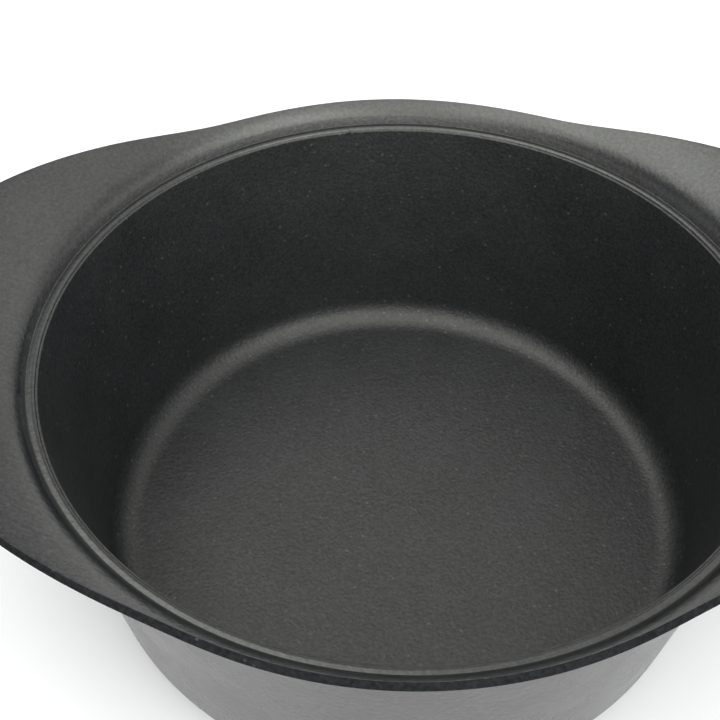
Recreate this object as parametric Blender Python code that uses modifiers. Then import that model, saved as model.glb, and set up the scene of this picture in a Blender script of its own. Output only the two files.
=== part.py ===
"""Cast iron dutch oven: an open pot with two wing lips, and its lid standing beside it.

Metres, +Z up. The origin is the centre of the pot's base, on the table. The wing lips point along X.
"""

from math import atan, cos, degrees, exp, hypot, pi, radians, sin, sqrt

import bmesh
import bpy
from mathutils import Matrix

MERGE = 0.00001
GAP = 0.0003  # clearance between pieces that touch

# Pot, inside
BORE_RADIUS = 0.110  # at the top edge of the inner wall
BORE_TOP = 0.090
BASE_THICKNESS = 0.006
INNER_TAPER = 0.135  # the wall's lean, radius per height
FLOOR_FILLET = 0.010

# Pot, outside
OUTER_RADIUS_AT_TOP = 0.1135  # of the wall's cone, read at the height of the bore's top
OUTER_TAPER = 0.150
HEEL_FILLET = 0.016

# Lid seat: a rounded bead on the bore's edge
BEAD_LEDGE = 0.0006
BEAD_RADIUS = 0.0013
BEAD_HEIGHT = 0.0010
SEAT_RADIUS = 0.1133  # where the bead ends and the rim starts to rise
SEAT_DROP = 0.00015

# Flared rim and wing lips
RIM_STEEP_RISE = 0.0041
RIM_STEEP_RUN = 0.0018
RIM_SLOPE = 0.6055
RIM_DROOP = 5.35  # loss of height per square metre of run
RIM_THICKNESS = 0.0026
EDGE_UPPER_ROUNDING = 0.0003
EDGE_LOWER_ROUNDING = 0.0005
RIM_STEEP_RUNS = (0.0005, 0.0012, 0.0021, 0.0033)  # where sections are read beside the seat
RIM_ROOT_RADIUS = 0.117  # where the underside starts to turn down into the wall
RIM_ROOT_DROP = 0.006
RIM_RADIUS = 0.1185  # of the upper face's outline at the front and back
WING_HALF_LENGTH = 0.153
WING_HALF_WIDTH = 0.110
WING_BLEND = 0.00173

# Lid
LID_CENTRE = (-0.2440, -0.1030)
LID_RADIUS = 0.1126
LID_THICKNESS = 0.004
LID_RING_OUTER = 0.1076
LID_RING_INNER = 0.1035
LID_RING_DEPTH = 0.004
LID_DOME_RISE = 0.014
LID_HOLE_RADIUS = 0.003
LID_PAD_RADIUS = 0.016
LID_PAD_TOP = 0.0224
LID_UNDER_PAD_RADIUS = 0.009
LID_UNDER_PAD = 0.0179

# Knob and its fixings
KNOB_TOP_RADIUS = 0.0205
KNOB_BASE_RADIUS = 0.0135
KNOB_HEIGHT = 0.026
KNOB_CROWN = 0.0012
KNOB_ROUNDING = 0.0030
KNOB_FOOT = 0.0008
COLLAR_RADIUS = 0.0150
COLLAR_THICKNESS = 0.0014
INSERT_RADIUS = 0.0050
INSERT_LENGTH = 0.0160
INSERT_WAIST_DEPTH = 0.0006
SCREW_SHANK_RADIUS = 0.0025
SCREW_HEAD_RADIUS = 0.0048
SCREW_HEAD_HEIGHT = 0.0030
SCREW_LENGTH = 0.0200
SLOT_WIDTH = 0.0012
SLOT_DEPTH = 0.0014
WASHER_RADIUS = 0.0070
WASHER_THICKNESS = 0.0012

POT_SIDES = 80
LID_SIDES = 72
KNOB_SIDES = 48
SMALL_SIDES = 32


def clear_scene():
    for thing in list(bpy.data.objects):
        bpy.data.objects.remove(thing)


def new_collection(name):
    collection = bpy.data.collections.new(name)
    bpy.context.scene.collection.children.link(collection)
    return collection


def new_material(name, colour, roughness, metallic):
    material = bpy.data.materials.new(name)
    material.use_nodes = True
    shader = material.node_tree.nodes["Principled BSDF"]
    shader.inputs["Base Color"].default_value = (*colour, 1.0)
    shader.inputs["Roughness"].default_value = roughness
    shader.inputs["Metallic"].default_value = metallic
    return material


def new_object(name, mesh, material, collection, parent=None):
    thing = bpy.data.objects.new(name, mesh)
    collection.objects.link(thing)
    thing.parent = parent
    if material:
        mesh.materials.append(material)
    return thing


def arc(centre, radius, start, end, steps):
    """Points on an arc from angle start to angle end, in degrees; angle 0 points outward, 90 up."""
    turns = [radians(start + (end - start) * i / steps) for i in range(steps + 1)]
    return [(centre[0] + radius * cos(t), centre[1] + radius * sin(t)) for t in turns]


def turned(name, outline, material, collection, sides, parent=None):
    """A closed outline of (radius, height) points, clockwise when seen with +X right, turned about Z."""
    mesh = bpy.data.meshes.new(name)
    count = len(outline)
    edges = [(i, (i + 1) % count) for i in range(count)]
    if outline[0][0] == 0.0:
        edges.pop()
    mesh.from_pydata([(radius, 0.0, height) for radius, height in outline], edges, [])
    thing = new_object(name, mesh, material, collection, parent)
    screw = thing.modifiers.new("Turn", "SCREW")
    screw.steps = sides
    screw.render_steps = sides
    screw.use_merge_vertices = True
    screw.merge_threshold = MERGE
    screw.use_smooth_shade = True
    return thing


def lip_reach(angle):
    """Distance from the pot's axis to the rim's edge: a circle blended smoothly into a long ellipse."""
    ellipse = 1.0 / hypot(cos(angle) / WING_HALF_LENGTH, sin(angle) / WING_HALF_WIDTH)
    middle = (ellipse + RIM_RADIUS) / 2.0
    half_difference = (ellipse - RIM_RADIUS) / 2.0
    return middle + sqrt(half_difference**2 + WING_BLEND**2)


def rim_top(radius):
    """Height of the flared rim's upper face: steep beside the lid seat, then flattening outward."""
    run = radius - SEAT_RADIUS
    rise = RIM_STEEP_RISE * (1.0 - exp(-run / RIM_STEEP_RUN)) + RIM_SLOPE * run - RIM_DROOP * run**2
    return BORE_TOP + BEAD_HEIGHT - SEAT_DROP + rise


def rim_slope(radius):
    run = radius - SEAT_RADIUS
    steep = RIM_STEEP_RISE / RIM_STEEP_RUN * exp(-run / RIM_STEEP_RUN)
    return steep + RIM_SLOPE - 2.0 * RIM_DROOP * run


def rim_under(radius):
    """Height of the rim's underside, a rim's thickness from its upper face."""
    return rim_top(radius) - RIM_THICKNESS * hypot(1.0, rim_slope(radius))


def outer_wall_radius(height):
    return OUTER_RADIUS_AT_TOP - OUTER_TAPER * (BORE_TOP - height)


def pot_inside():
    """From the edge of the flat floor up the inner wall and over the bead, as (radius, height)."""
    lean = atan(INNER_TAPER)
    centre_height = BASE_THICKNESS + FLOOR_FILLET
    wall_radius = BORE_RADIUS - INNER_TAPER * (BORE_TOP - centre_height)
    centre = (wall_radius - FLOOR_FILLET / cos(lean), centre_height)
    points = arc(centre, FLOOR_FILLET, -90.0, -degrees(lean), 4)
    points.append((BORE_RADIUS, BORE_TOP))
    bead_start = BORE_RADIUS + BEAD_LEDGE
    bead_top = BORE_TOP + BEAD_HEIGHT
    points.append((bead_start, BORE_TOP))
    points.append((bead_start + 0.3 * BEAD_RADIUS, bead_top - 0.3 * BEAD_HEIGHT))
    points.append((bead_start + BEAD_RADIUS, bead_top))
    points.append((SEAT_RADIUS, bead_top - SEAT_DROP))
    return points


def rim_edge(reach, steps):
    """The squared edge across the rim's thickness, with a small rounding above and below."""
    lean = atan(rim_slope(reach))
    tilt = degrees(lean)

    def place(back, down):
        """A point so far back from the edge along the rim, and so far below its top face."""
        radius = reach - back * cos(lean) + down * sin(lean)
        return (radius, rim_top(reach) - back * sin(lean) - down * cos(lean))

    upper = place(EDGE_UPPER_ROUNDING, EDGE_UPPER_ROUNDING)
    lower = place(EDGE_LOWER_ROUNDING, RIM_THICKNESS - EDGE_LOWER_ROUNDING)
    points = arc(upper, EDGE_UPPER_ROUNDING, 90.0 + tilt, tilt, steps)
    return points + arc(lower, EDGE_LOWER_ROUNDING, tilt, -90.0 + tilt, steps)


def pot_rim(angle):
    """Over the flared rim at one angle round the pot: top face, trimmed edge and underside."""
    edge = rim_edge(lip_reach(angle), 2)
    radii = [SEAT_RADIUS + run for run in RIM_STEEP_RUNS]
    radii += [radii[-1] + share * (edge[0][0] - radii[-1]) for share in (0.3, 0.65)]
    points = [(radius, rim_top(radius)) for radius in radii] + edge
    for share in (0.35, 0.7):
        radius = edge[-1][0] + share * (RIM_ROOT_RADIUS - edge[-1][0])
        points.append((radius, rim_under(radius)))
    return points + rim_root()


def rim_root():
    """The fillet from the rim's underside into the outer wall: a parabola tangent to both."""
    start = (RIM_ROOT_RADIUS, rim_under(RIM_ROOT_RADIUS))
    slope = rim_slope(RIM_ROOT_RADIUS)
    wall_there = outer_wall_radius(start[1])
    inward = (start[0] - wall_there) / (1.0 - OUTER_TAPER * slope)
    corner = (start[0] - inward, start[1] - slope * inward)
    end_height = BORE_TOP - RIM_ROOT_DROP
    end = (outer_wall_radius(end_height), end_height)
    points = []
    for step in range(5):
        t = step / 4.0
        weights = ((1.0 - t) ** 2, 2.0 * t * (1.0 - t), t**2)
        points.append(tuple(sum(w * p[i] for w, p in zip(weights, (start, corner, end))) for i in (0, 1)))
    return points


def pot_outside():
    """Down the outer wall and round the heel to the edge of the flat base."""
    lean = atan(OUTER_TAPER)
    wall_radius = outer_wall_radius(HEEL_FILLET)
    centre = (wall_radius - HEEL_FILLET / cos(lean), HEEL_FILLET)
    return arc(centre, HEEL_FILLET, -degrees(lean), -90.0, 5)


def pot_body(material, collection):
    """The casting, lofted through one section for each angle, because the rim's reach changes."""
    loft = bmesh.new()
    inside = pot_inside()
    outside = pot_outside()
    sections = []
    for side in range(POT_SIDES):
        angle = 2.0 * pi * side / POT_SIDES
        outline = inside + pot_rim(angle) + outside
        sections.append([loft.verts.new((r * cos(angle), r * sin(angle), z)) for r, z in outline])
    for side, section in enumerate(sections):
        following = sections[(side + 1) % POT_SIDES]
        for i in range(len(section) - 1):
            loft.faces.new((section[i], section[i + 1], following[i + 1], following[i]))
    loft.faces.new([section[0] for section in sections])
    loft.faces.new([section[-1] for section in reversed(sections)])
    mesh = bpy.data.meshes.new("pot_body")
    loft.to_mesh(mesh)
    loft.free()
    mesh.shade_smooth()
    mesh.set_sharp_from_angle(angle=radians(40.0))
    return new_object("pot_body", mesh, material, collection)


def dome_top(radius):
    """Height of the lid's upper face over the table."""
    edge = LID_RADIUS - LID_THICKNESS / 2.0
    return LID_RING_DEPTH + LID_THICKNESS + LID_DOME_RISE * (1.0 - (radius / edge) ** 2)


def lid_outline():
    """Out over the pad and dome, round the rim, down and up the locating ring, and in under the dome."""
    half = LID_THICKNESS / 2.0
    ring_middle = (LID_RING_OUTER + LID_RING_INNER) / 2.0
    ring_half = (LID_RING_OUTER - LID_RING_INNER) / 2.0
    points = [(LID_HOLE_RADIUS, LID_PAD_TOP), (LID_PAD_RADIUS, LID_PAD_TOP)]
    points += [(radius, dome_top(radius)) for radius in (0.0172, 0.040, 0.062, 0.082, 0.098)]
    points += arc((LID_RADIUS - half, LID_RING_DEPTH + half), half, 90.0, -90.0, 6)
    points.append((LID_RING_OUTER, LID_RING_DEPTH))
    points += arc((ring_middle, ring_half), ring_half, 0.0, -180.0, 6)
    points += [(radius, dome_top(radius) - LID_THICKNESS) for radius in (LID_RING_INNER, 0.085, 0.062, 0.035)]
    points += [(LID_UNDER_PAD_RADIUS, LID_UNDER_PAD), (LID_HOLE_RADIUS, LID_UNDER_PAD)]
    return points


def knob_outline():
    """Crowned top, rounded shoulder, sides that narrow downward, and the insert's pocket in the base."""
    shoulder = (KNOB_TOP_RADIUS - KNOB_ROUNDING, KNOB_HEIGHT - KNOB_ROUNDING)
    lean = degrees(atan((KNOB_TOP_RADIUS - KNOB_BASE_RADIUS) / KNOB_HEIGHT))
    points = [(0.0, KNOB_HEIGHT + KNOB_CROWN), (0.5 * shoulder[0], KNOB_HEIGHT + 0.75 * KNOB_CROWN)]
    points += arc(shoulder, KNOB_ROUNDING, 86.0, -lean, 6)
    points += arc((KNOB_BASE_RADIUS - KNOB_FOOT, KNOB_FOOT), KNOB_FOOT, -lean, -90.0, 3)
    pocket = INSERT_RADIUS + GAP
    pocket_top = INSERT_LENGTH + 2.0 * GAP
    points += [(pocket, 0.0), (pocket, pocket_top), (0.0, pocket_top)]
    return points


def collar_outline():
    edge = 0.4 * COLLAR_THICKNESS
    points = [(LID_HOLE_RADIUS, COLLAR_THICKNESS)]
    points += arc((COLLAR_RADIUS - edge, COLLAR_THICKNESS - edge), edge, 90.0, 0.0, 3)
    points += [(COLLAR_RADIUS, 0.0), (LID_HOLE_RADIUS, 0.0)]
    return points


def insert_outline():
    """A plain sleeve with one waist that keys it into the moulded knob."""
    bore = SCREW_SHANK_RADIUS + GAP
    waist = INSERT_RADIUS - INSERT_WAIST_DEPTH
    points = [(bore, INSERT_LENGTH), (INSERT_RADIUS, INSERT_LENGTH)]
    points += [(INSERT_RADIUS, 0.64 * INSERT_LENGTH), (waist, 0.60 * INSERT_LENGTH)]
    points += [(waist, 0.40 * INSERT_LENGTH), (INSERT_RADIUS, 0.36 * INSERT_LENGTH)]
    points += [(INSERT_RADIUS, 0.0), (bore, 0.0)]
    return points


def screw_outline():
    """Shank up from the head's shoulder at height 0, and the rounded head below it."""
    tip = 0.2 * SCREW_SHANK_RADIUS
    points = [(0.0, SCREW_LENGTH), (SCREW_SHANK_RADIUS - tip, SCREW_LENGTH)]
    points += [(SCREW_SHANK_RADIUS, SCREW_LENGTH - tip), (SCREW_SHANK_RADIUS, 0.0)]
    points += [(SCREW_HEAD_RADIUS, 0.0), (SCREW_HEAD_RADIUS, -0.4 * SCREW_HEAD_HEIGHT)]
    points += [(0.85 * SCREW_HEAD_RADIUS, -0.75 * SCREW_HEAD_HEIGHT)]
    points += [(0.5 * SCREW_HEAD_RADIUS, -0.95 * SCREW_HEAD_HEIGHT), (0.0, -SCREW_HEAD_HEIGHT)]
    return points


def washer_outline():
    hole = SCREW_SHANK_RADIUS + GAP
    return [(hole, WASHER_THICKNESS), (WASHER_RADIUS, WASHER_THICKNESS), (WASHER_RADIUS, 0.0), (hole, 0.0)]


def cut_driver_slot(screw, cutters):
    """A straight slot across the underside of the screw's head."""
    bpy.ops.mesh.primitive_cube_add(size=1.0)
    slot = bpy.context.active_object
    slot.name = "driver_slot"
    slot.data.transform(Matrix.Diagonal((4.0 * SCREW_HEAD_RADIUS, SLOT_WIDTH, 2.0 * SLOT_DEPTH, 1.0)))
    for holder in list(slot.users_collection):
        holder.objects.unlink(slot)
    cutters.objects.link(slot)
    slot.parent = screw
    slot.location = (0.0, 0.0, -SCREW_HEAD_HEIGHT)
    slot.hide_render = True
    slot.display_type = "WIRE"
    cut = screw.modifiers.new("Driver slot", "BOOLEAN")
    cut.operation = "DIFFERENCE"
    cut.solver = "EXACT"
    cut.object = slot


def lid_assembly(parts, cutters, iron, plastic, steel, brass):
    """The lid and its knob, stacked up the lift axis; the lid stands on its locating ring."""
    axis = bpy.data.objects.new("lid_lift_axis", None)
    parts.objects.link(axis)
    axis.location = (*LID_CENTRE, 0.0)

    turned("lid", lid_outline(), iron, parts, LID_SIDES, axis)
    collar = turned("knob_collar", collar_outline(), steel, parts, KNOB_SIDES, axis)
    collar.location.z = LID_PAD_TOP + GAP
    knob = turned("lid_knob", knob_outline(), plastic, parts, KNOB_SIDES, axis)
    knob.location.z = collar.location.z + COLLAR_THICKNESS + GAP
    insert = turned("knob_insert", insert_outline(), brass, parts, SMALL_SIDES, axis)
    insert.location.z = knob.location.z + GAP
    washer = turned("knob_washer", washer_outline(), steel, parts, SMALL_SIDES, axis)
    washer.location.z = LID_UNDER_PAD - GAP - WASHER_THICKNESS
    screw = turned("knob_screw", screw_outline(), steel, parts, SMALL_SIDES, axis)
    screw.location.z = washer.location.z - GAP
    cut_driver_slot(screw, cutters)


def main():
    clear_scene()
    parts = new_collection("cast_iron_dutch_oven")
    cutters = new_collection("cutters")
    iron = new_material("black_iron", (0.045, 0.045, 0.044), 0.5, 0.0)
    plastic = new_material("black_plastic", (0.02, 0.02, 0.02), 0.4, 0.0)
    steel = new_material("stainless_steel", (0.62, 0.61, 0.59), 0.3, 1.0)
    brass = new_material("brass", (0.65, 0.48, 0.22), 0.35, 1.0)
    pot_body(iron, parts)
    lid_assembly(parts, cutters, iron, plastic, steel, brass)


main()
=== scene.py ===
"""The looks of a cast iron dutch oven: an open pot with two wing lips, and its lid standing beside it.

Metres, +Z up, in the CAD's frame: the origin is the centre of the pot's base and the lips point along X.
Every piece is a fine mesh in the place of its CAD node, with a procedural material.
"""

from math import atan, atan2, cos, degrees, exp, hypot, pi, radians, sin, sqrt

import bmesh
import bpy
from mathutils import Matrix, Vector, noise


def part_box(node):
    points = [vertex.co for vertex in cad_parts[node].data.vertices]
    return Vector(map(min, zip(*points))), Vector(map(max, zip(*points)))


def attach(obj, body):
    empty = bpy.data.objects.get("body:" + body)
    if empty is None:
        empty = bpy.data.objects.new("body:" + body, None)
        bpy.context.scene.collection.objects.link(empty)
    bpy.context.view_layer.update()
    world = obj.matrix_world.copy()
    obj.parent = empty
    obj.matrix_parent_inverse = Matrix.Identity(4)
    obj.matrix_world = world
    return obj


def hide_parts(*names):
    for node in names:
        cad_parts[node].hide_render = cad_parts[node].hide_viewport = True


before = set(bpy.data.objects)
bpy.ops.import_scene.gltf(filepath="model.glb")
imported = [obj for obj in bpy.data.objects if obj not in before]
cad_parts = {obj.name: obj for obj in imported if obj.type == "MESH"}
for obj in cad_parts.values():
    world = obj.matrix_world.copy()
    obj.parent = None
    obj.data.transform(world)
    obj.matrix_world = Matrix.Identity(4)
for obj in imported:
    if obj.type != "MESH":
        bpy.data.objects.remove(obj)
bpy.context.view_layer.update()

# Pot, inside
BORE_RADIUS = 0.110  # at the top edge of the inner wall
BORE_TOP = 0.090
BASE_THICKNESS = 0.006
INNER_TAPER = 0.135  # the wall's lean, radius per height
FLOOR_FILLET = 0.010

# Pot, outside
OUTER_RADIUS_AT_TOP = 0.1135  # of the wall's cone, read at the height of the bore's top
OUTER_TAPER = 0.150
HEEL_FILLET = 0.016

# Lid seat: a rounded bead on the bore's edge
BORE_EDGE = 0.00022
BEAD_LEDGE = 0.0006
BEAD_RADIUS = 0.0013
BEAD_HEIGHT = 0.0010
SEAT_RADIUS = 0.1133  # where the bead ends and the rim starts to rise
SEAT_DROP = 0.00015

# Flared rim and wing lips
RIM_STEEP_RISE = 0.0041
RIM_STEEP_RUN = 0.0018
RIM_SLOPE = 0.6055
RIM_DROOP = 5.35  # loss of height per square metre of run
RIM_THICKNESS = 0.0026
EDGE_UPPER_ROUNDING = 0.00018
EDGE_LOWER_ROUNDING = 0.0005
RIM_ROOT_RADIUS = 0.117  # where the underside starts to turn down into the wall
RIM_ROOT_DROP = 0.006
RIM_RADIUS = 0.1185  # of the upper face's outline at the front and back
WING_HALF_LENGTH = 0.153
WING_HALF_WIDTH = 0.110
WING_BLEND = 0.00173
RIM_CROWDING = 1.7  # draws the rim's rows together beside the seat, where it turns most

# Casting marks
NICK_ANGLE = radians(97.7)
NICK_WIDTH = 0.0007
NICK_SIZE = 0.0006
NICK_REACH = 5.0  # in widths, from the nick's middle
NICK_BUMPS = ((0.4, 1.0), (-0.9, -0.35), (-2.6, 0.4))  # place along the bead in widths, and height
NICK_LIFT = 0.25  # how far up the burr points, against inward by about a bore's radius
NICK_STEP = 0.15  # degrees between the finer sections across the nick
NICK_STEPS = 12  # of them on each side
NICK_CLEARING = 2.0  # degrees on each side that have no even sections
WALL_TOP_BAND = 0.0016  # the wall under the bead is meshed finer, for the nick
WAVINESS = 0.00009
LID_WAVES = 0.8  # the lid's waves, against the pot's
SLOW_WAVES = 28.0  # noise cells per metre
QUICK_WAVES = 75.0
QUICK_SHARE = 0.35  # height of the quick waves, against the slow ones
WAVES_FADE = 0.002  # below this height the waves fade out, so that the foot stays flat

# Lid and knob
LID_THICKNESS = 0.004
LID_RING_OUTER = 0.1076
LID_RING_INNER = 0.1035
LID_RING_DEPTH = 0.004
LID_DOME_RISE = 0.014
LID_HOLE_RADIUS = 0.003
LID_PAD_RADIUS = 0.016
LID_PAD_TOP = 0.0224
LID_PAD_LEAN = 0.0012  # how far the pad's side spreads on its way down to the dome
LID_DOME_START = 0.0192  # where the dome's upper face is clear of the pad
LID_UNDER_PAD_RADIUS = 0.009
LID_UNDER_PAD = 0.0179
LID_UNDER_START = 0.098  # the dome's underside, clear of the locating ring
LID_UNDER_END = 0.0115  # and clear of the pad below the knob
KNOB_TOP_RADIUS = 0.0205
KNOB_BASE_RADIUS = 0.0135
KNOB_HEIGHT = 0.026
KNOB_CROWN = 0.0012
KNOB_ROUNDING = 0.0030
KNOB_FOOT = 0.0008
INSERT_RADIUS = 0.0050
INSERT_LENGTH = 0.0160
INSERT_WAIST = 0.0006  # depth of the waist
SCREW_RADIUS = 0.0025
SCREW_HEAD_HEIGHT = 0.0030
SCREW_CHAMFER = 0.0004  # from the tip to the first thread ridge
THREAD_PITCH = 0.0008
THREAD_CORE = 0.86  # share of the screw's radius
THREAD_STOP = 0.003  # the thread leaves about this much of the shank plain
SHOULDER_HEIGHT = 0.0018
SLOT_WIDTH = 0.0012
SLOT_DEPTH = 0.0014
SLOT_LENGTH = 0.02  # longer than the head is wide
GAP = 0.0003  # clearance round the screw and the insert

ON_AXIS = 1e-7  # a smaller radius than this is a pole
POT_SIDES = 360
LID_SIDES = 240
KNOB_SIDES = 144
SMALL_SIDES = 96

# Camera, over the front of the pot
CAMERA_PLACE = (-0.02017, -0.25525, 0.34694)
CAMERA_TILT = radians(43.978)
CAMERA_TURN = radians(-1.5)
CAMERA_ROLL = radians(0.1237)
CAMERA_LENS = 59.384  # millimetres, for a sensor 36 mm wide
CAMERA_SENSOR = 36.0

# How coarse the cast grain shows: 0 is smooth, and the trimmed edge goes past a full grain of 1
EDGE_GRAIN = 1.4
INSIDE_GRAIN = 0.95
GROOVE_GRAIN = 0.9
LID_GRAIN = 0.55
RIM_GRAIN = 0.4
OUTSIDE_GRAIN = 0.3
GROOVE_WIDTH = 0.0012
EDGE_BAND = 0.0001  # the trimmed edge starts this far inside the rim's outline
WALL_BAND = 0.001  # the inner wall's grain is found within this of its cone

# Iron
IRON_DARK = (0.0022, 0.0026, 0.0032)
IRON_LIGHT = (0.045, 0.049, 0.056)
IRON_ROUGHNESS = (0.14, 0.20)  # of the smooth skin, at its least and most
IRON_TINT = (0.985, 1.0, 0.92, 1.0)  # of the highlights
GRAIN_ROUGHNESS = 0.34  # what a full grain adds to the surface's roughness
INSIDE_SHEEN = 0.80  # of the coarse inside, against the dressed rim
TRIMMED_EDGE_SHEEN = 0.14  # of the rim's edge, on top of that

# Studio
FLOOR_SIZE = 60.0
FLOOR_COLOURS = ((0.81, 0.812, 0.818), (0.83, 0.832, 0.838))
ROOM_LEVEL = 0.12
HORIZON_GLOW = 0.85  # a low white band all round, where the room meets the floor
GLOW_TOP = 33.0  # degrees above the horizon where the glow has faded out
GLOW_FOOT = 0.02  # sine of the elevation below which the glow is full
SOFT_LIGHTS = (  # azimuth from +X, elevation, half width, all in degrees, and brightness
    (-90.0, 44.0, 46.0, 1.7),  # wide, over the camera
    (-100.0, 8.0, 38.0, 0.95),  # low, in front
    (-138.0, 57.0, 30.0, 2.0),  # high, over the front left
    (152.0, 67.0, 30.0, 2.7),  # high, behind on the left
    (-50.0, 36.0, 30.0, 2.8),  # at the front right
    (46.0, 40.0, 32.0, 1.2),  # behind on the right
    (90.0, -2.0, 33.0, 0.7),  # the pale wall behind, down to the horizon
    (122.0, 40.0, 30.0, 0.5),  # behind on the left, lower
    (90.0, 68.0, 28.0, 0.55),  # overhead
    (-12.0, 24.0, 30.0, 0.9),  # at the right
    (-20.0, 69.0, 26.0, 1.75),  # high, over the right
)


# ---------------------------------------------------------------- outlines


def arc(centre, radius, start, end, steps):
    """Points on an arc from angle start to angle end, in degrees; angle 0 points outward, 90 up."""
    turns = [radians(start + (end - start) * i / steps) for i in range(steps + 1)]
    return [(centre[0] + radius * cos(t), centre[1] + radius * sin(t)) for t in turns]


def line(start, end, steps):
    """Points from start towards end, without end itself."""
    return [tuple(a + (b - a) * i / steps for a, b in zip(start, end)) for i in range(steps)]


def quadratic(start, corner, end, steps):
    """Points on a parabola from start to end, tangent there to the lines that meet in corner."""
    points = []
    for step in range(steps + 1):
        t = step / steps
        weights = ((1.0 - t) ** 2, 2.0 * t * (1.0 - t), t**2)
        points.append(tuple(sum(w * c for w, c in zip(weights, parts)) for parts in zip(start, corner, end)))
    return points


def eased(corners, easing, steps=5):
    """An outline with every corner between its two ends rounded by a small parabola."""
    points = [corners[0]]
    for before, corner, after in zip(corners, corners[1:], corners[2:]):
        ends = []
        for other in (before, after):
            reach = hypot(other[0] - corner[0], other[1] - corner[1])
            share = min(easing, 0.45 * reach) / reach
            ends.append([c + (o - c) * share for c, o in zip(corner, other)])
        points += quadratic(ends[0], corner, ends[1], steps)
    points.append(corners[-1])
    return points


def lip_reach(angle):
    """Distance from the pot's axis to the rim's edge: a circle blended smoothly into a long ellipse."""
    ellipse = 1.0 / hypot(cos(angle) / WING_HALF_LENGTH, sin(angle) / WING_HALF_WIDTH)
    middle = (ellipse + RIM_RADIUS) / 2.0
    half_difference = (ellipse - RIM_RADIUS) / 2.0
    return middle + sqrt(half_difference**2 + WING_BLEND**2)


def rim_top(radius):
    """Height of the flared rim's upper face: steep beside the lid seat, then flattening outward."""
    run = radius - SEAT_RADIUS
    rise = RIM_STEEP_RISE * (1.0 - exp(-run / RIM_STEEP_RUN)) + RIM_SLOPE * run - RIM_DROOP * run**2
    return BORE_TOP + BEAD_HEIGHT - SEAT_DROP + rise


def rim_slope(radius):
    """Steepness of the flared rim's upper face, height per radius."""
    run = radius - SEAT_RADIUS
    steep = RIM_STEEP_RISE / RIM_STEEP_RUN * exp(-run / RIM_STEEP_RUN)
    return steep + RIM_SLOPE - 2.0 * RIM_DROOP * run


def rim_under(radius):
    """Height of the rim's underside, a rim's thickness from its upper face."""
    return rim_top(radius) - RIM_THICKNESS * hypot(1.0, rim_slope(radius))


def outer_wall_radius(height):
    """Radius of the outer wall's cone."""
    return OUTER_RADIUS_AT_TOP - OUTER_TAPER * (BORE_TOP - height)


def floor_fillet_centre():
    """Centre of the fillet between floor and wall, as (radius, height); the flat floor ends below it."""
    centre_height = BASE_THICKNESS + FLOOR_FILLET
    wall_radius = BORE_RADIUS - INNER_TAPER * (BORE_TOP - centre_height)
    return (wall_radius - FLOOR_FILLET / cos(atan(INNER_TAPER)), centre_height)


def pot_inside():
    """From the centre of the floor, up the inner wall and over the bead to the foot of the rim."""
    centre = floor_fillet_centre()
    points = line((0.0, BASE_THICKNESS), (centre[0], BASE_THICKNESS), 30)
    points += arc(centre, FLOOR_FILLET, -90.0, -degrees(atan(INNER_TAPER)), 12)
    wall_foot = points.pop()
    near_top = (BORE_RADIUS - INNER_TAPER * WALL_TOP_BAND, BORE_TOP - WALL_TOP_BAND)
    points += line(wall_foot, near_top, 24) + line(near_top, (BORE_RADIUS, BORE_TOP), 4)
    bead_start = BORE_RADIUS + BEAD_LEDGE
    edge = [points[-1], (BORE_RADIUS, BORE_TOP), (bead_start, BORE_TOP)]
    points += eased(edge, BORE_EDGE, 3)[1:]
    for step in range(1, 9):
        turn = radians(90.0 * step / 8)
        points.append((bead_start + BEAD_RADIUS * (1.0 - cos(turn)), BORE_TOP + BEAD_HEIGHT * sin(turn)))
    crest = points[-1]
    seat = (SEAT_RADIUS, BORE_TOP + BEAD_HEIGHT - SEAT_DROP)
    points += line(crest, seat, 5)[1:]
    return points


def rim_edge(reach, steps):
    """The squared edge across the rim's thickness, with a small rounding above and below."""
    lean = atan(rim_slope(reach))
    tilt = degrees(lean)

    def place(back, down):
        """A point so far back from the edge along the rim, and so far below its top face."""
        radius = reach - back * cos(lean) + down * sin(lean)
        return (radius, rim_top(reach) - back * sin(lean) - down * cos(lean))

    upper = place(EDGE_UPPER_ROUNDING, EDGE_UPPER_ROUNDING)
    lower = place(EDGE_LOWER_ROUNDING, RIM_THICKNESS - EDGE_LOWER_ROUNDING)
    above = arc(upper, EDGE_UPPER_ROUNDING, 90.0 + tilt, tilt, steps)
    below = arc(lower, EDGE_LOWER_ROUNDING, tilt, -90.0 + tilt, steps)
    return above + line(above[-1], below[0], 5)[1:] + below


def pot_rim(angle):
    """Over the flared rim at one angle round the pot: top face, trimmed edge and underside."""
    edge = rim_edge(lip_reach(angle), 7)
    points = []
    for step in range(30):
        radius = SEAT_RADIUS + (edge[0][0] - SEAT_RADIUS) * (step / 30) ** RIM_CROWDING
        points.append((radius, rim_top(radius)))
    points += edge
    for step in range(1, 10):
        radius = edge[-1][0] + (RIM_ROOT_RADIUS - edge[-1][0]) * step / 10
        points.append((radius, rim_under(radius)))
    return points + rim_root()


def rim_root():
    """The fillet from the rim's underside into the outer wall: a parabola tangent to both."""
    start = (RIM_ROOT_RADIUS, rim_under(RIM_ROOT_RADIUS))
    slope = rim_slope(RIM_ROOT_RADIUS)
    wall_there = outer_wall_radius(start[1])
    inward = (start[0] - wall_there) / (1.0 - OUTER_TAPER * slope)
    corner = (start[0] - inward, start[1] - slope * inward)
    end_height = BORE_TOP - RIM_ROOT_DROP
    return quadratic(start, corner, (outer_wall_radius(end_height), end_height), 10)


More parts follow.
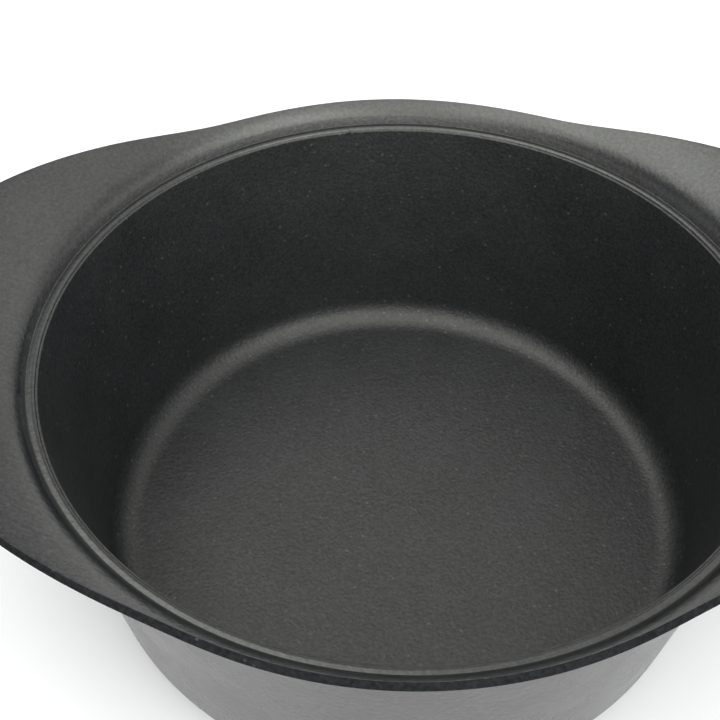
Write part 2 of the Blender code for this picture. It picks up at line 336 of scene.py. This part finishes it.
def pot_outside():
    """Down the outer wall, round the heel and in under the flat base to its centre."""
    lean = atan(OUTER_TAPER)
    top = BORE_TOP - RIM_ROOT_DROP
    centre = (outer_wall_radius(HEEL_FILLET) - HEEL_FILLET / cos(lean), HEEL_FILLET)
    heel = arc(centre, HEEL_FILLET, -degrees(lean), -90.0, 16)
    points = line((outer_wall_radius(top), top), heel[0], 20)[1:] + heel
    points += line(heel[-1], (0.0, 0.0), 12)[1:]
    points.append((0.0, 0.0))
    return points


# ---------------------------------------------------------------- meshes


def casting_offset(place):
    """How far a cast face stands off its true surface: slow waves left by the sand mould."""
    slow = noise.noise(place * SLOW_WAVES)
    quick = noise.noise(place * QUICK_WAVES + Vector((3.0, 8.0, 1.0)))
    return WAVINESS * (slow + QUICK_SHARE * quick)


def even_angles(count):
    """So many angles round the axis, evenly spaced from the +X direction."""
    return [2.0 * pi * side / count for side in range(count)]


def pot_angles():
    """Even steps round the pot, with finer ones across the nick."""
    fine = [NICK_ANGLE + radians(NICK_STEP * step) for step in range(-NICK_STEPS, NICK_STEPS + 1)]
    clearing = radians(NICK_CLEARING)
    apart = [angle for angle in even_angles(POT_SIDES) if abs(angle - NICK_ANGLE) > clearing]
    return sorted(apart + fine)


def loft(name, sections, angles):
    """Joins closed sections, one at each angle round the axis; points on the axis become one pole."""
    mesh = bmesh.new()
    poles = {}
    rows = []
    for angle, section in zip(angles, sections):
        row = []
        for index, (radius, height) in enumerate(section):
            if radius < ON_AXIS:
                if index not in poles:
                    poles[index] = mesh.verts.new((0.0, 0.0, height))
                row.append(poles[index])
            else:
                row.append(mesh.verts.new((radius * cos(angle), radius * sin(angle), height)))
        rows.append(row)
    closed = len(poles) == 0
    for side, row in enumerate(rows):
        following = rows[(side + 1) % len(rows)]
        steps = len(row) if closed else len(row) - 1
        for i in range(steps):
            j = (i + 1) % len(row)
            corners = []
            for vertex in (row[i], row[j], following[j], following[i]):
                if vertex not in corners:
                    corners.append(vertex)
            mesh.faces.new(corners)
    data = bpy.data.meshes.new(name)
    mesh.to_mesh(data)
    mesh.free()
    data.shade_smooth()
    thing = bpy.data.objects.new(name, data)
    bpy.context.scene.collection.objects.link(thing)
    return thing


def turned(name, outline, sides, place):
    """One outline of (radius, height) points turned about the vertical line through place."""
    thing = loft(name, [outline] * sides, even_angles(sides))
    thing.data.transform(Matrix.Translation(place))
    return thing


def roughen_casting(thing, amount=1.0):
    """Moves the vertices along their normals by the mould's slow waves."""
    data = thing.data
    moved = []
    for vertex in data.vertices:
        fade = min(1.0, vertex.co.z / WAVES_FADE)
        moved.append(vertex.co + vertex.normal * casting_offset(vertex.co) * amount * fade)
    for vertex, place in zip(data.vertices, moved):
        vertex.co = place


def add_nick(thing):
    """A small burr and notch that the casting's trimming left on the bead at the back."""
    middle = Vector((cos(NICK_ANGLE), sin(NICK_ANGLE), 0.0)) * (BORE_RADIUS + 0.5 * BEAD_LEDGE)
    middle.z = BORE_TOP
    along = Vector((-sin(NICK_ANGLE), cos(NICK_ANGLE), 0.0))
    direction = Vector((-middle.x, -middle.y, NICK_LIFT)).normalized()
    for vertex in thing.data.vertices:
        away = vertex.co - middle
        if away.length > NICK_REACH * NICK_WIDTH:
            continue
        run = away.dot(along) / NICK_WIDTH
        across = (away - along * away.dot(along)).length / NICK_WIDTH
        fade = exp(-(across**2))
        burr = sum(height * exp(-((run - place) ** 2)) for place, height in NICK_BUMPS)
        vertex.co += direction * burr * fade * NICK_SIZE


def mark_grain(thing, grain_of):
    """Stores how coarse the cast grain shows at each point, read by the iron's material."""
    grain = thing.data.attributes.new("grain", "FLOAT", "POINT")
    for vertex, value in zip(thing.data.vertices, grain.data):
        value.value = grain_of(vertex.co)


def pot_grain(place):
    """Coarse inside and in the groove beside the bead, finer on the rim and outside, coarsest on the edge."""
    radius = hypot(place.x, place.y)
    if radius > lip_reach(atan2(place.y, place.x)) - EDGE_BAND:
        return EDGE_GRAIN
    if radius > BORE_RADIUS + BEAD_LEDGE and place.z > BORE_TOP:
        return GROOVE_GRAIN if SEAT_RADIUS < radius < SEAT_RADIUS + GROOVE_WIDTH else RIM_GRAIN
    inside = radius < BORE_RADIUS - INNER_TAPER * (BORE_TOP - place.z) + WALL_BAND
    if inside and place.z > 0.5 * BASE_THICKNESS:
        return INSIDE_GRAIN
    return OUTSIDE_GRAIN


def make_pot(iron):
    """The pot: one casting from the floor's centre over the rim and back under to the base's centre."""
    inside = pot_inside()
    outside = pot_outside()
    angles = pot_angles()
    sections = [inside + pot_rim(angle) + outside for angle in angles]
    pot = loft("pot_iron_body", sections, angles)
    mark_grain(pot, pot_grain)
    roughen_casting(pot)
    add_nick(pot)
    pot.data.materials.append(iron)
    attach(pot, "pot")
    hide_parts("pot_body")


def dome_top(radius, edge):
    """Height of the lid's upper face over the table."""
    return LID_RING_DEPTH + LID_THICKNESS + LID_DOME_RISE * (1.0 - (radius / edge) ** 2)


def lid_outline(lid_radius):
    """Out over the pad and dome, round the rim, down and up the locating ring, and in under the dome."""
    half = LID_THICKNESS / 2.0
    edge = lid_radius - half
    ring_middle = (LID_RING_OUTER + LID_RING_INNER) / 2.0
    ring_half = (LID_RING_OUTER - LID_RING_INNER) / 2.0
    foot_radius = LID_PAD_RADIUS + LID_PAD_LEAN
    pad = [(LID_HOLE_RADIUS, 0.5 * (LID_PAD_TOP + LID_UNDER_PAD)), (LID_HOLE_RADIUS, LID_PAD_TOP)]
    pad += [(LID_PAD_RADIUS, LID_PAD_TOP), (foot_radius, dome_top(foot_radius, edge))]
    pad.append((LID_DOME_START, dome_top(LID_DOME_START, edge)))
    points = eased(pad, 0.0005)
    for step in range(1, 41):
        radius = LID_DOME_START + (edge - LID_DOME_START) * step / 41
        points.append((radius, dome_top(radius, edge)))
    points += arc((edge, LID_RING_DEPTH + half), half, 90.0, -90.0, 14)
    ring_side = [points[-1], (LID_RING_OUTER, LID_RING_DEPTH), (LID_RING_OUTER, ring_half)]
    points += eased(ring_side, 0.0006)[1:]
    points += arc((ring_middle, ring_half), ring_half, 0.0, -180.0, 14)[1:]
    inner_top = (LID_RING_INNER, dome_top(LID_RING_INNER, edge) - LID_THICKNESS)
    under_start = (LID_UNDER_START, dome_top(LID_UNDER_START, edge) - LID_THICKNESS)
    under = [points[-1], inner_top, under_start]
    points += eased(under, 0.0010)[1:]
    for step in range(1, 31):
        radius = LID_UNDER_START + (LID_UNDER_END - LID_UNDER_START) * step / 30
        points.append((radius, dome_top(radius, edge) - LID_THICKNESS))
    boss = [points[-1], (LID_UNDER_PAD_RADIUS, LID_UNDER_PAD), (LID_HOLE_RADIUS, LID_UNDER_PAD)]
    boss.append((LID_HOLE_RADIUS, 0.5 * (LID_PAD_TOP + LID_UNDER_PAD)))
    points += eased(boss, 0.0004)[1:-1]
    return points


def knob_outline():
    """Crowned top, rounded shoulder, sides narrowing down to the foot, and the insert's pocket."""
    shoulder = (KNOB_TOP_RADIUS - KNOB_ROUNDING, KNOB_HEIGHT - KNOB_ROUNDING)
    lean = degrees(atan((KNOB_TOP_RADIUS - KNOB_BASE_RADIUS) / KNOB_HEIGHT))
    points = []
    for step in range(16):
        share = step / 16
        points.append((share * shoulder[0], KNOB_HEIGHT + KNOB_CROWN * (1.0 - share**2)))
    points += arc(shoulder, KNOB_ROUNDING, 88.0, -lean, 14)
    foot = arc((KNOB_BASE_RADIUS - KNOB_FOOT, KNOB_FOOT), KNOB_FOOT, -lean, -90.0, 8)
    points += line(points[-1], foot[0], 14)[1:] + foot
    pocket = INSERT_RADIUS + GAP
    pocket_top = INSERT_LENGTH + 2.0 * GAP
    rim = [points[-1], (pocket, 0.0), (pocket, pocket_top), (0.0, pocket_top)]
    points += eased(rim, 0.0004)[1:]
    return points


def ring_outline(inner, outer, low, high, easing):
    """A flat ring's section, its corners eased, starting and ending halfway up its bore."""
    middle = (inner, 0.5 * (low + high))
    corners = [middle, (inner, high), (outer, high), (outer, low), (inner, low), middle]
    return eased(corners, easing)[:-1]


def insert_outline(bore, outer, length):
    """A brass sleeve with a waist that keys it into the moulded knob."""
    waist = outer - INSERT_WAIST
    corners = [(bore, 0.5 * length), (bore, length), (outer, length)]
    corners += [(outer, 0.64 * length), (waist, 0.60 * length), (waist, 0.40 * length)]
    corners += [(outer, 0.36 * length), (outer, 0.0), (bore, 0.0), (bore, 0.5 * length)]
    return eased(corners, 0.00025)[:-1]


def screw_outline(shank, head, head_height, length):
    """Shank with fine rolled thread ridges, shoulder, and the rounded head below it."""
    core = THREAD_CORE * shank
    points = [(0.0, length), (0.6 * shank, length)]
    for turn in range(int((length - THREAD_STOP) / THREAD_PITCH)):
        top = length - SCREW_CHAMFER - turn * THREAD_PITCH
        points += [(shank, top - 0.1 * THREAD_PITCH), (shank, top - 0.3 * THREAD_PITCH)]
        points += [(core, top - 0.6 * THREAD_PITCH), (core, top - 0.8 * THREAD_PITCH)]
    shoulder = [(core, SHOULDER_HEIGHT), (core, 0.0), (head, 0.0), (head, -0.4 * head_height)]
    shoulder += [(0.85 * head, -0.75 * head_height), (0.5 * head, -0.95 * head_height)]
    shoulder.append((0.0, -head_height))
    return points + eased(shoulder, 0.0003)


def cut_slot(screw, place, head_height):
    """The driver's slot across the underside of the screw's head."""
    bpy.ops.mesh.primitive_cube_add(size=1.0)
    cutter = bpy.context.active_object
    cutter.data.transform(Matrix.Diagonal((SLOT_LENGTH, SLOT_WIDTH, 2.0 * SLOT_DEPTH, 1.0)))
    cutter.data.transform(Matrix.Translation(place - Vector((0.0, 0.0, head_height))))
    cut = screw.modifiers.new("Driver slot", "BOOLEAN")
    cut.operation = "DIFFERENCE"
    cut.object = cutter
    depsgraph = bpy.context.evaluated_depsgraph_get()
    finished = bpy.data.meshes.new_from_object(screw.evaluated_get(depsgraph))
    screw.modifiers.clear()
    screw.data = finished
    finished.set_sharp_from_angle(angle=radians(40.0))
    bpy.data.objects.remove(cutter)


def finish_piece(thing, node, material):
    """Gives one piece of the lid its material and ties it to its CAD node."""
    thing.data.materials.append(material)
    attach(thing, "lid")
    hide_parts(node)


def make_lid(iron, plastic, steel, brass):
    """The lid and its knob, each in the place of its CAD node."""
    low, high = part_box("lid")
    axis = Vector(((low.x + high.x) / 2.0, (low.y + high.y) / 2.0, 0.0))
    lid_radius = (high.x - low.x) / 2.0

    lid = turned("lid_iron_dome", lid_outline(lid_radius), LID_SIDES, axis)
    mark_grain(lid, lambda place: LID_GRAIN)
    roughen_casting(lid, LID_WAVES)
    finish_piece(lid, "lid", iron)

    low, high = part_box("knob_collar")
    outline = ring_outline(LID_HOLE_RADIUS, (high.x - low.x) / 2.0, low.z, high.z, 0.0004)
    finish_piece(turned("knob_steel_collar", outline, KNOB_SIDES, axis), "knob_collar", steel)

    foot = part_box("lid_knob")[0].z
    knob = turned("knob_grip", knob_outline(), KNOB_SIDES, axis + Vector((0.0, 0.0, foot)))
    finish_piece(knob, "lid_knob", plastic)

    low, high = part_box("knob_insert")
    outline = insert_outline(SCREW_RADIUS + GAP, (high.x - low.x) / 2.0, high.z - low.z)
    insert = turned("knob_brass_insert", outline, SMALL_SIDES, axis + Vector((0.0, 0.0, low.z)))
    finish_piece(insert, "knob_insert", brass)

    low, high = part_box("knob_washer")
    outline = ring_outline(SCREW_RADIUS + GAP, (high.x - low.x) / 2.0, low.z, high.z, 0.0002)
    finish_piece(turned("knob_steel_washer", outline, SMALL_SIDES, axis), "knob_washer", steel)

    low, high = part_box("knob_screw")
    head_height = SCREW_HEAD_HEIGHT
    place = axis + Vector((0.0, 0.0, low.z + head_height))
    length = high.z - low.z - head_height
    outline = screw_outline(SCREW_RADIUS, (high.x - low.x) / 2.0, head_height, length)
    screw = turned("knob_steel_screw", outline, SMALL_SIDES, place)
    cut_slot(screw, place, head_height)
    finish_piece(screw, "knob_screw", steel)


# ---------------------------------------------------------------- materials


def add_node(tree, kind, inputs=(), **settings):
    """A new node with its settings; an input is a value, or another node's output to link to."""
    made = tree.nodes.new(kind)
    for key, value in settings.items():
        setattr(made, key, value)
    for key, value in dict(inputs).items():
        if hasattr(value, "links"):
            tree.links.new(value, made.inputs[key])
        else:
            made.inputs[key].default_value = value
    return made


class Graph:
    """A short way to write a material's nodes and links."""

    def __init__(self, name):
        self.material = bpy.data.materials.new(name)
        self.material.use_nodes = True
        self.tree = self.material.node_tree
        self.shader = self.tree.nodes["Principled BSDF"]

    def node(self, kind, inputs=(), **settings):
        return add_node(self.tree, kind, inputs, **settings)

    def coordinates(self):
        return self.node("ShaderNodeTexCoord").outputs["Object"]

    def noise(self, where, scale, detail=2.0, rough=0.5):
        inputs = {"Vector": where, "Scale": scale, "Detail": detail, "Roughness": rough}
        return self.node("ShaderNodeTexNoise", inputs).outputs["Fac"]

    def spread(self, value, low, high, to_low=0.0, to_high=1.0):
        """Value's range from low to high spread over another range, and held at its ends."""
        inputs = {"Value": value, "From Min": low, "From Max": high, "To Min": to_low, "To Max": to_high}
        return self.node("ShaderNodeMapRange", inputs).outputs["Result"]

    def math(self, operation, a, b=0.0):
        return self.node("ShaderNodeMath", {0: a, 1: b}, operation=operation).outputs["Value"]

    def colours(self, share, first, second):
        """A colour between first and second, by share."""
        ramp = self.node("ShaderNodeValToRGB", {"Fac": share})
        ramp.color_ramp.elements[0].color = (*first, 1.0)
        ramp.color_ramp.elements[1].color = (*second, 1.0)
        return ramp.outputs["Color"]

    def bump(self, height, distance, strength, onto=None):
        """A normal bent by height, on top of another bump's normal if there is one."""
        inputs = {"Height": height, "Distance": distance, "Strength": strength}
        if onto is not None:
            inputs["Normal"] = onto
        return self.node("ShaderNodeBump", inputs).outputs["Normal"]

    def wire(self, socket, output):
        """Links an output to one of the shader's sockets."""
        self.tree.links.new(output, self.shader.inputs[socket])

    def set(self, socket, value):
        """Gives one of the shader's sockets a uniform value."""
        self.shader.inputs[socket].default_value = value


def iron_material(name):
    """Black coated cast iron: cloudy tone, small light grains, sand texture, orange peel and pinholes."""
    g = Graph(name)
    where = g.coordinates()
    grain = g.node("ShaderNodeAttribute", attribute_name="grain").outputs["Fac"]

    clouds = g.noise(where, 34.0, 3.0, 0.6)
    speckle = g.noise(where, 900.0, 2.0, 0.6)
    cloud_tone = g.spread(clouds, 0.3, 0.7, 0.0, 0.10)
    tone = g.math("ADD", cloud_tone, g.spread(speckle, 0.35, 0.65, 0.0, 0.17))
    dots = g.node("ShaderNodeTexVoronoi", {"Vector": where, "Scale": 340.0})
    chosen = g.node("ShaderNodeSeparateColor", {"Color": dots.outputs["Color"]}).outputs["Green"]
    spot = g.spread(dots.outputs["Distance"], 0.10, 0.22, 1.0, 0.0)
    dot = g.math("MULTIPLY", spot, g.spread(chosen, 0.6, 1.0))
    share = g.math("ADD", tone, g.math("MULTIPLY", dot, grain))
    g.wire("Base Color", g.colours(share, IRON_DARK, IRON_LIGHT))

    patches = g.noise(where, 60.0, 3.0, 0.55)
    skin = g.spread(patches, 0.3, 0.7, *IRON_ROUGHNESS)
    g.wire("Roughness", g.math("ADD", skin, g.math("MULTIPLY", grain, GRAIN_ROUGHNESS)))
    sheen = g.spread(speckle, 0.35, 0.65, 0.86, 1.0)
    inside = g.spread(grain, 0.91, INSIDE_GRAIN, 1.0, INSIDE_SHEEN)  # starts just above the groove's grain
    trimmed = g.spread(grain, 1.0, EDGE_GRAIN, 1.0, TRIMMED_EDGE_SHEEN)
    g.wire("Specular IOR Level", g.math("MULTIPLY", sheen, g.math("MULTIPLY", inside, trimmed)))
    g.set("Specular Tint", IRON_TINT)

    peel = g.noise(where, 420.0, 2.0, 0.5)
    sand = g.noise(where, 800.0, 2.0, 0.6)
    cells = g.node("ShaderNodeTexVoronoi", {"Vector": where, "Scale": 260.0})
    pin = g.spread(cells.outputs["Distance"], 0.05, 0.16, -1.0, 0.0)
    pick = g.node("ShaderNodeSeparateColor", {"Color": cells.outputs["Color"]}).outputs["Red"]
    pinholes = g.math("MULTIPLY", pin, g.spread(pick, 0.86, 0.88, 0.0, 1.0))

    normal = g.bump(peel, 0.00022, 0.35)
    normal = g.bump(sand, 0.00017, grain, normal)
    normal = g.bump(pinholes, 0.00008, 0.5, normal)
    g.wire("Normal", normal)
    return g.material


def plastic_material():
    """Satin black moulded phenolic, with faint mould texture and handling smudges."""
    g = Graph("moulded_phenolic")
    where = g.coordinates()
    clouds = g.noise(where, 120.0, 3.0, 0.6)
    g.wire("Base Color", g.colours(clouds, (0.010, 0.010, 0.011), (0.020, 0.020, 0.021)))
    smudge = g.noise(where, 90.0, 4.0, 0.6)
    g.wire("Roughness", g.spread(smudge, 0.3, 0.7, 0.26, 0.40))
    spark = g.noise(where, 1800.0, 2.0, 0.5)
    g.wire("Normal", g.bump(spark, 0.00006, 0.35))
    g.set("Coat Weight", 0.15)
    g.set("Coat Roughness", 0.2)
    return g.material


def metal_material(name, dark, light, low, high, centre):
    """Turned metal: fine rings left by the lathe round the piece's own axis, and a faint smear in its colour.
    """
    g = Graph(name)
    where = g.coordinates()
    local = g.node("ShaderNodeVectorMath", {0: where, 1: centre}, operation="SUBTRACT").outputs["Vector"]
    parts = g.node("ShaderNodeSeparateXYZ", {"Vector": local})
    across = g.math("POWER", parts.outputs["X"], 2.0)
    along = g.math("POWER", parts.outputs["Y"], 2.0)
    radius = g.math("SQRT", g.math("ADD", across, along))
    rings = g.node("ShaderNodeCombineXYZ", {"X": radius, "Y": parts.outputs["Z"]}).outputs["Vector"]
    lathe = g.noise(rings, 5000.0, 2.0, 0.6)
    smear = g.noise(where, 240.0, 3.0, 0.6)
    g.wire("Base Color", g.colours(smear, dark, light))
    g.wire("Roughness", g.spread(g.noise(rings, 2600.0, 2.0, 0.5), 0.3, 0.7, low, high))
    g.wire("Normal", g.bump(lathe, 0.00003, 0.4))
    g.set("Metallic", 1.0)
    return g.material


# ---------------------------------------------------------------- studio


def make_floor():
    """A wide pale floor, faintly mottled."""
    bpy.ops.mesh.primitive_plane_add(size=FLOOR_SIZE)
    floor = bpy.context.active_object
    floor.name = "studio_floor"
    g = Graph("pale_floor")
    mottle = g.noise(g.coordinates(), 6.0, 3.0, 0.5)
    g.wire("Base Color", g.colours(mottle, *FLOOR_COLOURS))
    g.set("Roughness", 0.75)
    g.set("Specular IOR Level", 0.2)
    floor.data.materials.append(g.material)


def make_studio():
    """Soft light: a dim room, a pale glow round the horizon, and softboxes as smooth patches of the sky."""
    world = bpy.data.worlds.new("studio")
    bpy.context.scene.world = world
    world.use_nodes = True
    tree = world.node_tree
    tree.nodes.clear()

    def smooth_step(value, start, end, low, high):
        """Goes smoothly from low to high while value goes from start to end."""
        inputs = {"Value": value, "From Min": start, "From Max": end, "To Min": low, "To Max": high}
        made = add_node(tree, "ShaderNodeMapRange", inputs, interpolation_type="SMOOTHSTEP")
        return made.outputs["Result"]

    direction = add_node(tree, "ShaderNodeTexCoord").outputs["Generated"]
    height = add_node(tree, "ShaderNodeSeparateXYZ", {"Vector": direction}).outputs["Z"]
    level = smooth_step(height, sin(radians(GLOW_TOP)), GLOW_FOOT, ROOM_LEVEL, ROOM_LEVEL + HORIZON_GLOW)
    for azimuth, elevation, half_width, brightness in SOFT_LIGHTS:
        turn, rise = radians(azimuth), radians(elevation)
        centre = (cos(rise) * cos(turn), cos(rise) * sin(turn), sin(rise))
        inputs = {0: direction, 1: centre}
        nearness = add_node(tree, "ShaderNodeVectorMath", inputs, operation="DOT_PRODUCT").outputs["Value"]
        patch = smooth_step(nearness, cos(radians(half_width)), 1.0, 0.0, brightness)
        level = add_node(tree, "ShaderNodeMath", {0: patch, 1: level}, operation="ADD").outputs["Value"]
    background = add_node(tree, "ShaderNodeBackground", {"Color": (1.0, 1.0, 1.0, 1.0), "Strength": level})
    add_node(tree, "ShaderNodeOutputWorld", {"Surface": background.outputs["Background"]})


def make_camera():
    """The photograph's view of the pot, from above its front."""
    data = bpy.data.cameras.new("camera")
    data.lens = CAMERA_LENS
    data.sensor_width = CAMERA_SENSOR
    data.clip_start = 0.01
    camera = bpy.data.objects.new("camera", data)
    bpy.context.scene.collection.objects.link(camera)
    turn = Matrix.Rotation(CAMERA_TURN, 4, "Z")
    tilt = Matrix.Rotation(CAMERA_TILT, 4, "X")
    roll = Matrix.Rotation(CAMERA_ROLL, 4, "Z")
    camera.matrix_world = Matrix.Translation(CAMERA_PLACE) @ turn @ tilt @ roll
    bpy.context.scene.camera = camera


def main():
    """Materials first, then the pieces, the floor, the light and the camera."""
    bpy.context.scene.view_settings.view_transform = "Standard"
    pot_iron = iron_material("pot_cast_iron")
    lid_iron = iron_material("lid_cast_iron")
    axis = sum(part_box("knob_collar"), Vector()) / 2.0
    steel = metal_material("turned_steel", (0.50, 0.49, 0.47), (0.66, 0.65, 0.63), 0.22, 0.36, axis)
    brass = metal_material("turned_brass", (0.52, 0.36, 0.15), (0.68, 0.50, 0.24), 0.24, 0.38, axis)
    make_pot(pot_iron)
    make_lid(lid_iron, plastic_material(), steel, brass)
    make_floor()
    make_studio()
    make_camera()


main()
